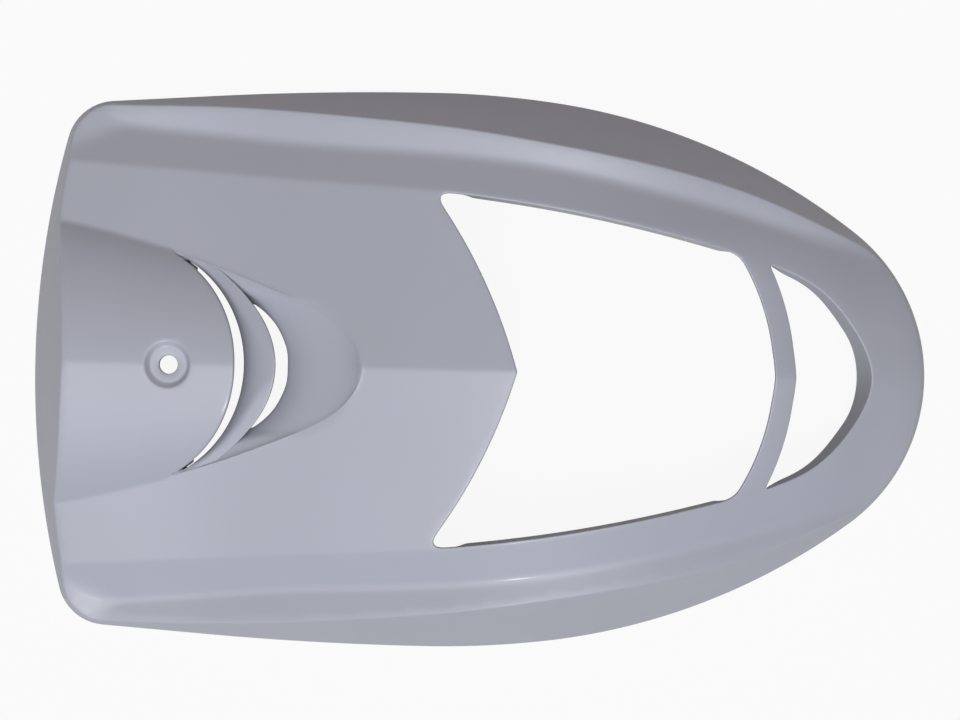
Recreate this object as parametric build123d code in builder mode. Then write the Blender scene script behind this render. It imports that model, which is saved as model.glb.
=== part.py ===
from build123d import *
from math import cos, radians, tan
import os

os.makedirs("parts", exist_ok=True)

# Plan of the lower rim, nose towards +X, rim plane on z = 0 (mm and degrees)
LENGTH = 420.0
NOSE_R = 86.0
NOSE_ARC = 52.8
SHOULDER_R = 300.0
SHOULDER_ARC = 29.7
WAIST_R = 435.0
WAIST_ARC = 7.5
TAIL_R = 1500.0
TAIL_ARC = 4.0
TAIL_RUN = 150.0
END_BOW_R = 387.0
CORNER_R = 18.0
WALL_FLARE = 28.0
WALL = 2.6
RIM_LIP = 2.6
BLOCK_TOP = 80.0

# Side-view lines on the centre plane. Each is carried outwards at its own fall, so the
# roof, the steep facet below it and the rising brim meet in long crisp folds
CREASE_LINE = [(-228, 24.0), (-178, 29.5), (-130, 35.2), (-82, 45.2), (-14, 60.7), (36, 67.6),
               (77, 62.4), (127, 46.0), (165, 30.0), (182, 20.6), (197, 12.6), (226, -7.5)]
FACET_LINE = [(-228, 56.5), (-178, 60.5), (-130, 65.0), (-82, 73.6), (-14, 87.3), (36, 91.9),
              (77, 84.0), (127, 64.0), (165, 45.0), (182, 34.6), (197, 25.3), (226, 2.5)]
BRIM_LINE = [(-228, -24.0), (-178, -11.2), (-130, -3.0), (-82, 8.9), (-14, 26.0), (36, 34.9),
             (77, 32.1), (127, 19.1), (165, 5.8), (182, -2.8), (197, -9.6), (226, -27.0)]
ROOF_FALL = 10.0
FACET_FALL = 27.0
BRIM_RISE = 7.0
BRIM_REACH = 150.0
VALLEY_R = 12.0
FOLD_R = 22.0
FLOOR = -60.0
ROOT = -150.0

# Wedge that closes the valley at each rear corner, a straight line carried outwards
WEDGE_LINE = [(-228, 25.3), (-189, 22.5), (-150, 19.6)]
WEDGE_FALL = 8.5

# Raised hood over the vent: x, crest height, half-width of the foot, height of the foot
HOOD_STATIONS = [
    (-230.0, 40.0, 69.0, 12.0),
    (-190.0, 41.0, 64.0, 17.3),
    (-150.0, 43.0, 55.0, 22.6),
    (-100.0, 46.5, 44.0, 30.0),
]
HOOD_CROWN_FALL = 7.0
HOOD_FLANK_FALL = 40.0
HOOD_SKIRT = 9.0
LIP_R = 59.0
LIP_X = -109.3

# Scoop and louvre, heights measured from a plane that follows the slope of the roof
SCOOP_TILT = 12.1
SCOOP_X = -163.4
SCOOP_Z = 28.0
SCOOP_ARC = 130.0
SCOOP_CURVE = [(46, -9.2), (58, -8.6), (73.5, -7.1), (90, -5.2), (104, -3.1), (112, 0), (116, 5)]
SLAT_IN_R = 57.4
SLAT_IN_X = -107.6
SLAT_OUT_R = 50.0
SLAT_OUT_X = -91.5
SLAT_CURVE = [(47, -18), (53.5, -11), (60, -5.5), (71, -1.8), (75, -1.3)]
SLAT_HALF_SPAN = 44.5
RAMP_R = 43.7
RAMP_X = -88.0
RAMP_HALF_SPAN = 30.0
ROLL_W = 10.0
ROLL_LOW = -12.0
ROLL_TOP = -5.5
HEADROOM = 60.0

# Lamp opening: tip and corners of one half, then corner radii and turned-down flanges
LAMP_APEX_X = 15.7
LAMP_CHEVRON = (1.2, 40.0)
LAMP_REAR = (-19.5, 80.0)
LAMP_SIDE = (40.0, 71.2)
LAMP_FRONT = (117.0, 55.0)
LAMP_NOSE_X = 132.1
LAMP_REAR_R = 4.5
LAMP_FRONT_R = 5.0
FLANGE_DEPTH = 13.0
FLANGE_W = 2.4
FLANGE_BACK = -9.0
FLANGE_FRONT = 104.0

# Crescent opening behind the nose, drawn where its wall stands at CRESCENT_LEVEL
BAR_X = 142.1
CRESCENT_TIP = (131.0, 48.5)
CRESCENT_SHOULDER = (151.3, 41.6)
CRESCENT_SIDE = (166.0, 30.4)
CRESCENT_X = 182.4
CRESCENT_LEVEL = 26.0
CRESCENT_DRAFT = 15.0
CRESCENT_DEPTH = 15.0
CRESCENT_WALL = 2.2
CRESCENT_TOP = 60.0

# Screw seat on top of the hood
SCREW_X = -140.2
SCREW_D = 8.4
SEAT_D = 21.0
SEAT_FLOOR_D = 16.6
SEAT_SINK = 2.8
SEAT_Z = 40.4
SEAT_W = 2.6
SEAT_RIM = 2.2


def rim_plan(inset, level):
    with BuildSketch(Plane.XY.offset(level)) as plan:
        with BuildLine():
            nose = JernArc((LENGTH / 2 - inset, 0), (0, 1), NOSE_R - inset, NOSE_ARC)
            shoulder = JernArc(nose @ 1, nose % 1, SHOULDER_R - inset, SHOULDER_ARC)
            waist = JernArc(shoulder @ 1, shoulder % 1, WAIST_R - inset, WAIST_ARC)
            tail = JernArc(waist @ 1, waist % 1, TAIL_R - inset, TAIL_ARC)
            run = Line(tail @ 1, (tail @ 1) + (tail % 1) * TAIL_RUN)
            Line(run @ 1, ((run @ 1).X, 0))
            mirror(about=Plane.XZ)
        make_face()
    return plan.sketch


def wall_block(inset):
    """Solid inside the flared walls, moved in by inset."""
    run = BLOCK_TOP * tan(radians(WALL_FLARE))
    with BuildPart() as block:
        add(rim_plan(inset, 0))
        add(rim_plan(inset + run, BLOCK_TOP))
        loft(ruled=True)
        with Locations((END_BOW_R - LENGTH / 2, 0, 0)):
            Cone(END_BOW_R - inset, END_BOW_R - inset - run, BLOCK_TOP,
                 align=(Align.CENTER, Align.CENTER, Align.MIN), mode=Mode.INTERSECT)
        posts = [e for e in block.edges()
                 if e.center().X < -100 and abs(e.center().Y) > 40
                 and e.bounding_box().size.Z > BLOCK_TOP - 1]
        fillet(posts, CORNER_R - inset)
    return block.part


def carried(line, fall):
    """Solid under a side-view line carried outwards from the centre plane at a fall."""
    with BuildPart() as form:
        with BuildSketch(Plane.XZ):
            with BuildLine():
                top = Spline(*line)
                Polyline(top @ 1, ((top @ 1).X, ROOT), ((top @ 0).X, ROOT), top @ 0)
            make_face()
        extrude(amount=BRIM_REACH, dir=(0, 1, -tan(radians(fall))))
    return form.part


def hood_section(x, crest, half, foot_z):
    """Arched section of the hood at x, its flank carried on below the roof."""
    flank = tan(radians(HOOD_FLANK_FALL))
    crown = tan(radians(HOOD_CROWN_FALL))
    knee = (foot_z + flank * half - crest) / (flank - crown)
    skirt_z = foot_z - flank * HOOD_SKIRT
    with BuildSketch(Plane.YZ.offset(x)) as section:
        with BuildLine():
            Bezier((0, crest), (knee, crest - crown * knee), (half, foot_z))
            Line((half, foot_z), (half + HOOD_SKIRT, skirt_z))
            Line((half + HOOD_SKIRT, skirt_z), (half + HOOD_SKIRT, FLOOR))
            Line((half + HOOD_SKIRT, FLOOR), (0, FLOOR))
            mirror(about=Plane.YZ)
        make_face()
    return section.sketch


def roof_form():
    """Solid under the roof, its brim and the rear wedges."""
    with BuildPart() as form:
        add(carried(CREASE_LINE, ROOF_FALL))
        add(carried(FACET_LINE, FACET_FALL), mode=Mode.INTERSECT)
        add(carried(BRIM_LINE, -BRIM_RISE))
        folds = form.edges().filter_by(lambda e: e.bounding_box().size.X > LENGTH
                                       and 50 < e.center().Y < 120).sort_by(Axis.Y)
        fillet(folds[-1], VALLEY_R)
        folds = form.edges().filter_by(lambda e: e.bounding_box().size.X > LENGTH
                                       and 50 < e.center().Y < 85).sort_by(Axis.Y)
        fillet(folds[0], FOLD_R)
        add(carried(WEDGE_LINE, WEDGE_FALL))
        mirror(about=Plane.XZ)
    return form.part


def hood_form():
    with BuildPart() as form:
        for station in HOOD_STATIONS:
            add(hood_section(*station))
        loft()
        with BuildSketch(Plane.XY.offset(FLOOR)):
            with Locations((LIP_X - LIP_R, 0)):
                Circle(LIP_R)
                Rectangle(2 * LIP_R, 2 * BRIM_REACH, align=(Align.MAX, Align.CENTER))
        extrude(amount=4 * HEADROOM, mode=Mode.INTERSECT)
    return form.part


def turned(points, low, arc, tangents=()):
    """Revolve the region above a curve (or below it, with low) about the local Z axis."""
    end = FLOOR if low else HEADROOM
    with BuildPart() as form:
        with BuildSketch(Plane.XZ):
            with BuildLine():
                Spline(*points, tangents=tangents)
                Polyline(points[-1], (points[-1][0], end), (points[0][0], end), points[0])
            make_face()
        revolve(axis=Axis.Z, revolution_arc=arc)
    return Rotation(0, 0, -arc / 2) * form.part


def slope_place(x):
    """Frame on the crease at x, leaning with the roof."""
    lean = tan(radians(SCOOP_TILT))
    return Plane(origin=(x, 0, SCOOP_Z + (x - SCOOP_X) * lean),
                 x_dir=(1, 0, lean), z_dir=(-lean, 0, 1)).location


def upper_form(roof):
    """Solid under the whole upper surface: roof with scoop, louvre slat and hood."""
    bowl = turned(SCOOP_CURVE, False, SCOOP_ARC)
    roll = turned([(RAMP_R - 2, ROLL_LOW - 4), (RAMP_R, ROLL_LOW), (RAMP_R + ROLL_W, ROLL_TOP)],
                  False, SCOOP_ARC, [(1, 2.4), (1, 0.14)])
    slat = turned(SLAT_CURVE, True, SCOOP_ARC)
    with BuildPart() as form:
        add(roof)
        add(slope_place(SCOOP_X) * bowl, mode=Mode.SUBTRACT)
        add(slope_place(RAMP_X - RAMP_R) * roll, mode=Mode.SUBTRACT)
        with BuildPart(mode=Mode.PRIVATE) as blade:
            add(slope_place(SCOOP_X) * slat)
            with Locations((SLAT_OUT_X - SLAT_OUT_R, 0, 0)):
                Cylinder(SLAT_OUT_R, 4 * HEADROOM, mode=Mode.INTERSECT)
            add(roof, mode=Mode.INTERSECT)
        add(blade.part)
        add(hood_form())
    return form.part


def lamp_plan():
    with BuildSketch() as plan:
        with BuildLine():
            ThreePointArc((LAMP_APEX_X, 0), LAMP_CHEVRON, LAMP_REAR)
            ThreePointArc(LAMP_REAR, LAMP_SIDE, LAMP_FRONT)
            mirror(about=Plane.XZ)
            ThreePointArc(LAMP_FRONT, (LAMP_NOSE_X, 0), (LAMP_FRONT[0], -LAMP_FRONT[1]))
        make_face()
        corners = plan.vertices().sort_by(Axis.X)
        fillet(corners[:2], LAMP_REAR_R)
        front = [v for v in plan.vertices() if abs(v.X - LAMP_FRONT[0]) < 0.01]
        fillet(front, LAMP_FRONT_R)
    return plan.sketch


def crescent_plan(grow, level):
    """Crescent between the bar and the nose, its outer curve moved out by grow."""
    tip = (CRESCENT_TIP[0], CRESCENT_TIP[1] + grow)
    shoulder = (CRESCENT_SHOULDER[0] + 0.4 * grow, CRESCENT_SHOULDER[1] + 0.9 * grow)
    side = (CRESCENT_SIDE[0] + 0.75 * grow, CRESCENT_SIDE[1] + 0.66 * grow)
    with BuildSketch(Plane.XY.offset(level)) as plan:
        with BuildLine():
            Spline((CRESCENT_X + grow, 0), side, shoulder, tip, tangents=[(0, 1), (-1, 0.35)])
            mirror(about=Plane.XZ)
            ThreePointArc(tip, (BAR_X, 0), (tip[0], -tip[1]))
        make_face()
    return plan.sketch


def crescent_block(grow):
    lean = tan(radians(CRESCENT_DRAFT))
    with BuildPart() as block:
        add(crescent_plan(grow - CRESCENT_LEVEL * lean, 0))
        add(crescent_plan(grow + (CRESCENT_TOP - CRESCENT_LEVEL) * lean, CRESCENT_TOP))
        loft(ruled=True)
    return block.part


def slot_block(outer_r, outer_x, inner_r, inner_x, half_span):
    """Upright crescent between two discs, each given by radius and foremost x."""
    with BuildPart() as block:
        with Locations((outer_x - outer_r, 0, 0)):
            Cylinder(outer_r, 4 * HEADROOM)
        with Locations((inner_x - inner_r, 0, 0)):
            Cylinder(inner_r, 4 * HEADROOM, mode=Mode.SUBTRACT)
        Box(2 * LENGTH, 2 * half_span, 4 * HEADROOM, mode=Mode.INTERSECT)
    return block.part


# Outer and inner solids of the moulding. The inner one is the same form lowered by the
# wall and drawn in by it, and the rim keeps a low lip all round
roof = roof_form()
upper = upper_form(roof)

with BuildPart() as outer:
    add(upper)
    with Locations((0, 0, RIM_LIP)):
        Box(2 * LENGTH, 2 * BRIM_REACH, -FLOOR, align=(Align.CENTER, Align.CENTER, Align.MAX))
    add(wall_block(0), mode=Mode.INTERSECT)

with BuildPart() as inner:
    add(upper.moved(Location((0, 0, -WALL))))
    add(wall_block(WALL / cos(radians(WALL_FLARE))), mode=Mode.INTERSECT)

# Turned-down flanges along the two long edges of the lamp opening
with BuildPart() as flanges:
    with BuildSketch():
        add(lamp_plan())
        offset(amount=FLANGE_W)
        with Locations(((FLANGE_BACK + FLANGE_FRONT) / 2, 0)):
            Rectangle(FLANGE_FRONT - FLANGE_BACK, 2 * BRIM_REACH, mode=Mode.INTERSECT)
    extrude(amount=BLOCK_TOP)
    add(outer.part, mode=Mode.INTERSECT)
    add(roof.moved(Location((0, 0, -FLANGE_DEPTH))), mode=Mode.SUBTRACT)

# Leaning wall that hangs from the outer curve of the crescent opening
with BuildPart() as collar:
    add(crescent_block(CRESCENT_WALL))
    add(outer.part, mode=Mode.INTERSECT)
    add(roof.moved(Location((0, 0, -CRESCENT_DEPTH))), mode=Mode.SUBTRACT)

# Cup under the screw seat, its rim running up into the hood
with BuildPart() as cup:
    with BuildSketch(Plane.XY.offset(SEAT_Z - SEAT_W)):
        with Locations((SCREW_X, 0)):
            Circle(SEAT_D / 2 + SEAT_RIM)
    extrude(amount=HEADROOM)
    add(outer.part, mode=Mode.INTERSECT)

with BuildPart() as panel:
    add(outer.part)
    add(inner.part, mode=Mode.SUBTRACT)
    add(flanges.part)
    add(collar.part)
    add(cup.part)
    # Lamp opening and crescent opening
    with BuildSketch():
        add(lamp_plan())
    extrude(amount=BLOCK_TOP, mode=Mode.SUBTRACT)
    add(crescent_block(0), mode=Mode.SUBTRACT)
    # Two louvre slots, one each side of the slat
    add(slot_block(SLAT_IN_R, SLAT_IN_X, LIP_R, LIP_X, SLAT_HALF_SPAN), mode=Mode.SUBTRACT)
    add(slot_block(RAMP_R, RAMP_X, SLAT_OUT_R, SLAT_OUT_X, RAMP_HALF_SPAN), mode=Mode.SUBTRACT)
    # Screw seat sunk into the hood, with the clearance hole through it
    with Locations((SCREW_X, 0, SEAT_Z)):
        Cone(SEAT_FLOOR_D / 2, SEAT_D - SEAT_FLOOR_D / 2, 2 * SEAT_SINK,
             align=(Align.CENTER, Align.CENTER, Align.MIN), mode=Mode.SUBTRACT)
    with BuildSketch():
        with Locations((SCREW_X, 0)):
            Circle(SCREW_D / 2)
    extrude(amount=BLOCK_TOP, mode=Mode.SUBTRACT)

panel.part.label = "headlight_panel"
export_step(panel.part, "parts/headlight_panel.step")
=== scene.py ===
# %% [markdown]
# # Scooter headlight panel
# A front panel moulded in one piece of glossy light grey plastic, lying face up as in the photo. The
# solid from the frame gives its place and size. It could be shown as it is, but its folds and edges
# are bare. So the visual shell is drawn again from the same rules, with a finer skin, rounded edges
# and softer folds, and then stands in for the solid.

import math

import bpy
import numpy as np
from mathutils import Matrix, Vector
from mathutils.geometry import delaunay_2d_cdt


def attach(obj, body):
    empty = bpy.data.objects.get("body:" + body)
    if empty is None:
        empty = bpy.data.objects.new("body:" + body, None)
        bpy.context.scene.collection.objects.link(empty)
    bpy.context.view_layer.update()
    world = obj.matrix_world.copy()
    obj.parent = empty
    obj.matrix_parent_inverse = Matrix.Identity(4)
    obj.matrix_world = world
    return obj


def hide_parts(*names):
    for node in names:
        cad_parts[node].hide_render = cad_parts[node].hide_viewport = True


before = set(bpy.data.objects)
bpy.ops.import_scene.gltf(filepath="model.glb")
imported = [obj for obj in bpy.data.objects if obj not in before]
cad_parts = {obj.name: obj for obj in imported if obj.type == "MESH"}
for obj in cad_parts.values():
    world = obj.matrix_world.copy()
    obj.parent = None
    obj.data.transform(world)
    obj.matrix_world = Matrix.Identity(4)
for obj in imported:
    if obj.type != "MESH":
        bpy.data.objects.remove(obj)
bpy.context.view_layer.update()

# %% [markdown]
# ## Side lines and soft folds
# Seen from the side, every surface of the panel follows one smooth line, and two surfaces meet in
# a fold with a small radius. Such a form could be sculpted, or modelled with curves and bevels.
# Here each height is a function of the plan position (x, y) in millimetres, because a rule can be
# changed by one number. `soft_min` and `soft_max` round a fold: the third number is how far apart
# the two heights may be where the rounding starts.

# %% Side lines and soft folds
class SideLine:
    """Natural cubic curve through a few points, read at any x."""

    def __init__(self, points):
        x, z = np.array(points, float).T
        n = len(x)
        h = np.diff(x)
        rows = np.eye(n)
        right = np.zeros(n)
        for i in range(1, n - 1):
            rows[i, i - 1:i + 2] = h[i - 1], 2 * (h[i - 1] + h[i]), h[i]
            right[i] = 6 * ((z[i + 1] - z[i]) / h[i] - (z[i] - z[i - 1]) / h[i - 1])
        self.x, self.z, self.h, self.bend = x, z, h, np.linalg.solve(rows, right)

    def __call__(self, q):
        q = np.asarray(q, float)
        i = np.clip(np.searchsorted(self.x, q) - 1, 0, len(self.h) - 1)
        h, m0, m1 = self.h[i], self.bend[i], self.bend[i + 1]
        left, right = q - self.x[i], self.x[i + 1] - q
        cubic = (m0 * right ** 3 + m1 * left ** 3) / (6 * h)
        return cubic + (self.z[i] / h - m0 * h / 6) * right + (self.z[i + 1] / h - m1 * h / 6) * left


def soft_min(a, b, width):
    gap = np.maximum(width - np.abs(a - b), 0)
    return np.minimum(a, b) - gap * gap / (4 * width)


def soft_max(a, b, width):
    return -soft_min(-a, -b, width)


def ramp(value, start, end):
    """Smooth step from 0 at start to 1 at end."""
    t = np.clip((value - start) / (end - start), 0, 1)
    return t * t * (3 - 2 * t)


def slope(degrees):
    return math.tan(math.radians(degrees))


print("soft_min(1, 1.2, 1) =", soft_min(1.0, 1.2, 1.0))

# %% [markdown]
# ## Roof, facet, brim and rear wedge
# The panel has a gently falling roof on both sides of its centre crease, a steep facet outside it
# and a brim that rises again to the outer crest. On the nose the crease and the first fold fade
# into a dome, and a flat wedge closes the valley at each rear corner. Lofted sections could give
# this too, but side lines that are carried outwards at their own fall give the folds by themselves.

# %% Roof, facet, brim and rear wedge
crease_line = SideLine([(-228, 24.0), (-178, 29.5), (-130, 35.2), (-82, 45.2), (-14, 60.7), (36, 67.6),
                        (77, 62.4), (127, 46.0), (165, 30.0), (182, 20.6), (197, 12.6), (226, -7.5)])
facet_line = SideLine([(-228, 56.5), (-178, 60.5), (-130, 65.0), (-82, 73.6), (-14, 87.3), (36, 91.9),
                       (77, 84.0), (127, 64.0), (165, 45.0), (182, 34.6), (197, 25.3), (226, 2.5)])
brim_line = SideLine([(-228, -24.0), (-178, -11.2), (-130, -3.0), (-82, 8.9), (-14, 26.0), (36, 34.9),
                      (77, 32.1), (127, 19.1), (165, 5.8), (182, -2.8), (197, -9.6), (226, -27.0)])
ROOF_FALL, FACET_FALL, BRIM_RISE = slope(10), slope(27), slope(7)
WEDGE_AT = (-166.5, 108.8, 4.5)
WEDGE_RISE, WEDGE_FALL = 0.0735, 0.15
# Softness of each fold on the body, what the nose adds to it, and where along x that comes in
CREASE_SOFT, FOLD_SOFT, BRIM_SOFT = (0.4, 9.0, 120, 195), (0.45, 5.0, 60, 170), (1.6, 2.0, 120, 190)
WEDGE_SOFT = 1.2


def softness(fold, x):
    body, added, start, end = fold
    return body + added * ramp(x, start, end)


def main_height(x, y):
    """The shell without its hood and scoop."""
    round_off = softness(CREASE_SOFT, x)
    roof = crease_line(x) - ROOF_FALL * (np.hypot(y, round_off) - 0.5 * round_off)
    facet = facet_line(x) - FACET_FALL * y
    brim = brim_line(x) + BRIM_RISE * y
    top = soft_min(roof, facet, softness(FOLD_SOFT, x))
    top = soft_max(top, brim, softness(BRIM_SOFT, x))
    wedge = WEDGE_AT[2] + WEDGE_RISE * (WEDGE_AT[0] - x) - WEDGE_FALL * (y - WEDGE_AT[1])
    return soft_max(top, wedge, WEDGE_SOFT)


print("crease over the lamp:", float(main_height(np.array(36.0), np.array(0.0))))

# %% [markdown]
# ## Hood
# The hood is the arch at the rear that carries the screw and shades the louvre. It could be a
# stretched half tube. Its crown, half-width and foot change along x here, so that it grows out of
# the roof as the real one does, and its flanks stay straight below the rounded shoulders.

# %% Hood
HOOD = [(-230.0, 40.0, 69.0, 12.0), (-190.0, 41.0, 64.0, 17.3),
        (-150.0, 43.0, 55.0, 22.6), (-100.0, 46.5, 44.0, 30.0)]
hood_crest, hood_half, hood_foot = (SideLine([(s[0], s[k]) for s in HOOD]) for k in (1, 2, 3))
CROWN, FLANK, CREST_ROUND = slope(7), slope(40), 1.0


def hood_height(x, y):
    """A parabola over the shoulders, with a straight flank outside it."""
    y = np.hypot(y, CREST_ROUND)
    crest, half, foot = hood_crest(x), hood_half(x), hood_foot(x)
    knee = (foot + FLANK * half - crest) / (FLANK - CROWN)
    t = y / (knee + np.sqrt(np.maximum(knee ** 2 + (half - 2 * knee) * y, 0)))
    arch = (1 - t) ** 2 * crest + 2 * t * (1 - t) * (crest - CROWN * knee) + t * t * foot
    return np.where(t < 1, arch, foot - FLANK * (y - half))


print("hood over the screw:", round(float(hood_height(np.array(-140.0), np.array(0.0))), 1))

# %% [markdown]
# ## Curves turned about a leaning axis
# The bowl of the scoop and the louvre's slat are turned forms, as a potter's wheel would make them,
# about an axis that leans with the roof. A Screw modifier makes such a form as its own mesh, but it
# would have to be cut and joined. Solving for the height over (x, y) keeps all in one skin.

# %% Curves turned about a leaning axis
LEAN = math.radians(12.1)
SCOOP_AT = (-163.4, 28.0)
SECTOR, PAST_SECTOR, PAST_FALL = math.radians(75), 0.6, 60
scoop_line = SideLine([(46, -9.2), (58, -8.6), (73.5, -7.1), (90, -5.2), (104, -3.1), (112, 0), (116, 5)])
slat_line = SideLine([(47, -18), (53.5, -11), (60, -5.5), (71, -1.8), (75, -1.3)])
# Where a turned form doesn't reach, it stands far above or far below the roof
NO_BOWL, NO_SLAT = 900.0, -900.0
TURN_ROUNDS = 14


def turned_height(x, y, line, outside):
    """Height of a curve of radius, turned about the leaning axis. Past its reach it gives outside."""
    low, high = line.x[0], line.x[-1]
    dx = x - SCOOP_AT[0]
    dz = dx * math.tan(LEAN)
    for _ in range(TURN_ROUNDS):
        along = dx * math.cos(LEAN) + dz * math.sin(LEAN)
        radius = np.hypot(along, y)
        dz = (line(np.clip(radius, low, high)) + dx * math.sin(LEAN)) / math.cos(LEAN)
    turn = np.abs(np.arctan2(y, along))
    beyond = np.maximum(turn - SECTOR, 0) * math.copysign(PAST_FALL, outside)
    reached = (radius >= low) & (radius <= high) & (turn < SECTOR + PAST_SECTOR)
    return np.where(reached, SCOOP_AT[1] + dz + beyond, outside)


bowl_tip = turned_height(np.array(-70.0), np.array(0.0), scoop_line, NO_BOWL)
print("bowl behind its tip:", round(float(bowl_tip), 1))

# %% [markdown]
# ## Edges drawn in plan
# The brink of the scoop and the edge where its ramp rolls over into the second slot are free curves
# in plan. Blender's own curve objects could hold them. A chain of points is used, because the
# distance from it steers the heights beside it, and because it becomes a row of mesh edges later.

# %% Edges drawn in plan
BRINK = [(-52.2, 0.0), (-54.0, 7.4), (-60.0, 16.0), (-70.0, 23.7), (-80.0, 28.7), (-90.0, 33.0),
         (-100.0, 37.0), (-110.0, 40.9), (-125.0, 46.2), (-138.0, 50.3), (-147.0, 53.0)]
SLOT_2 = [(-87.5, 0.0), (-88.0, 7.5), (-90.1, 13.3), (-93.2, 18.8), (-97.0, 23.2), (-100.2, 26.0),
          (-103.1, 28.0)]
PAST_SLOT_2 = [(-107.6, 31.7), (-112.6, 36.9), (-117.4, 41.6)]
CHAIN_STEP = 1.2
REAR_OF_CHAIN = [[-180.0, 60.0], [-180.0, -1.0]]


def in_polygon(x, y, polygon):
    """Counts the sides crossed on the way out: an odd number means inside."""
    odd = np.zeros(len(x), bool)
    for (ax, ay), (bx, by) in zip(polygon, np.roll(polygon, -1, axis=0)):
        if ay != by:
            odd ^= ((ay > y) != (by > y)) & (x < (bx - ax) * (y - ay) / (by - ay) + ax)
    return odd


def smooth_chain(knots, step):
    """Points along a smooth curve that leaves the middle line squarely."""
    knots = np.array([(knots[1][0], -knots[1][1])] + knots)
    run = np.concatenate([[0], np.cumsum(np.hypot(*np.diff(knots, axis=0).T))])
    s = np.linspace(run[1], run[-1], int((run[-1] - run[1]) / step))
    chain = np.stack([SideLine(np.stack([run, knots[:, k]], 1))(s) for k in (0, 1)], 1)
    chain[0, 1] = 0
    return chain


def how_far_in(x, y, chain):
    """Distance inside a chain that bounds an area towards the rear, negative outside it."""
    spots = np.stack([np.ravel(x), np.abs(np.ravel(y))], 1).astype(float)
    near = np.full(len(spots), 1e9)
    for a, b in zip(chain[:-1], chain[1:]):
        t = np.clip((spots - a) @ (b - a) / ((b - a) @ (b - a)), 0, 1)
        near = np.minimum(near, np.hypot(*(spots - a - t[:, None] * (b - a)).T))
    edge = np.concatenate([chain, REAR_OF_CHAIN, [[chain[0][0], -1.0]]])
    near *= np.where(in_polygon(spots[:, 0], spots[:, 1], edge), 1, -1)
    return near.reshape(np.shape(x))


brink = smooth_chain(BRINK, CHAIN_STEP)
ramp_edge = smooth_chain(SLOT_2 + PAST_SLOT_2, CHAIN_STEP)
print("brink points:", len(brink), "ramp edge points:", len(ramp_edge))

# %% [markdown]
# ## Scoop and ramp
# The scoop is the hollow that leads air under the hood. Its wall falls from the brink and runs out
# into the bowl, and its floor climbs as a ramp and rolls over into the second slot. A boolean cut
# would leave a hard, uneven edge. The wall's fall and the bowl's depth are blended instead, and a
# bead follows the brink, because the real edge catches a thin line of light.

# %% Scoop and ramp
BRINK_SLOPE, BRINK_DROP, SCOOP_DEPTHS = 0.65, 0.75, (0.05, 40)
BEAD, BEAD_REACH = 0.2, 0.6
roll_line = SideLine([(-10, -17.6), (-6, -16.8), (-2, -14.6), (0, -12.6), (3.3, -10.0), (7.3, -7.9),
                      (11.3, -6.5), (16.3, -5.4), (22.3, -4.3), (28.3, -2.6), (60, 30)])
ROLL_RISE, ROLL_ENDS, ROLL_SOFT = 8.0, (28.0, 43.0), 1.4


def scoop_height(x, y):
    """Roof with the scoop cut in. Its wall falls from the brink and runs out into the bowl."""
    roof = main_height(x, y)
    bowl = turned_height(x, y, scoop_line, NO_BOWL)
    wall = BRINK_SLOPE * np.maximum(how_far_in(x, y, brink), 0) + 1e-6
    deep = np.clip(roof - bowl + BRINK_DROP, *SCOOP_DEPTHS)
    top = roof - wall * deep / (wall ** 3 + deep ** 3) ** (1 / 3)
    top = top + BEAD * np.exp(-(how_far_in(x, y, brink) / BEAD_REACH) ** 2)
    over = np.clip(-how_far_in(x, y, ramp_edge), roll_line.x[0], roll_line.x[-1])
    roll = roll_line(over) / math.cos(LEAN)
    roll = roll + SCOOP_AT[1] + (x - SCOOP_AT[0]) * math.tan(LEAN)
    return soft_min(top, roll + ROLL_RISE * ramp(np.abs(y), *ROLL_ENDS), ROLL_SOFT)


print("floor of the scoop:", [round(float(scoop_height(np.array(x), np.array(0.0))), 1)
                             for x in (-80.0, -70.0, -60.0)])

# %% [markdown]
# ## Slat and the foot of the hood
# The slat is the curved blade left standing between the two slots. It never rises above the roof.
# It could be a piece of its own, but on the real panel it is one moulding with the scoop, so both
# share one skin, and the hood's foot is folded into that skin in the same way.

# %% Slat and the foot of the hood
SLAT_BELOW_ROOF, SLAT_SOFT, SLAT_FOOT_SOFT, HOOD_FOOT_SOFT = 0.3, 0.4, 0.3, 0.8


def slat_height(x, y):
    slat = turned_height(x, y, slat_line, NO_SLAT)
    slat = soft_min(slat, main_height(x, y) - SLAT_BELOW_ROOF, SLAT_SOFT)
    return soft_max(scoop_height(x, y), slat, SLAT_FOOT_SOFT)


def hood_top(x, y):
    return soft_max(scoop_height(x, y), hood_height(x, y), HOOD_FOOT_SOFT)


for name, rule in (("scoop", scoop_height), ("slat", slat_height), ("hood", hood_top)):
    print(name, [round(float(rule(np.array(x), np.array(0.0))), 1) for x in (-140.0, -100.0, -80.0)])

# %% [markdown]
# ## Rim
# The rim is the plane lower edge on which the panel rests. A designer draws it as tangent arcs,
# and so does this cell: arcs from the nose, a straight side, a rounded corner and the bowed rear
# end. Only the half with positive y is drawn, and a Mirror modifier makes the other, because the
# panel is symmetric.

# %% Rim
HALF_LENGTH = 210.0
RIM_ARCS = [(86.0, 52.8), (300.0, 29.7), (435.0, 7.5), (1500.0, 4.0)]
BOW_R, CORNER_R = 425.0, 23.0
RIM_STEP = 2.4


def arc_points(centre, radius, start, end, step):
    """Points of an arc and its inward normals, by the heading of travel in radians."""
    count = max(2, int(abs(end - start) * radius / step) + 1)
    heading = np.linspace(start, end, count)
    out = np.stack([np.sin(heading), -np.cos(heading)], 1)
    return np.array(centre) + radius * out, -out


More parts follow.
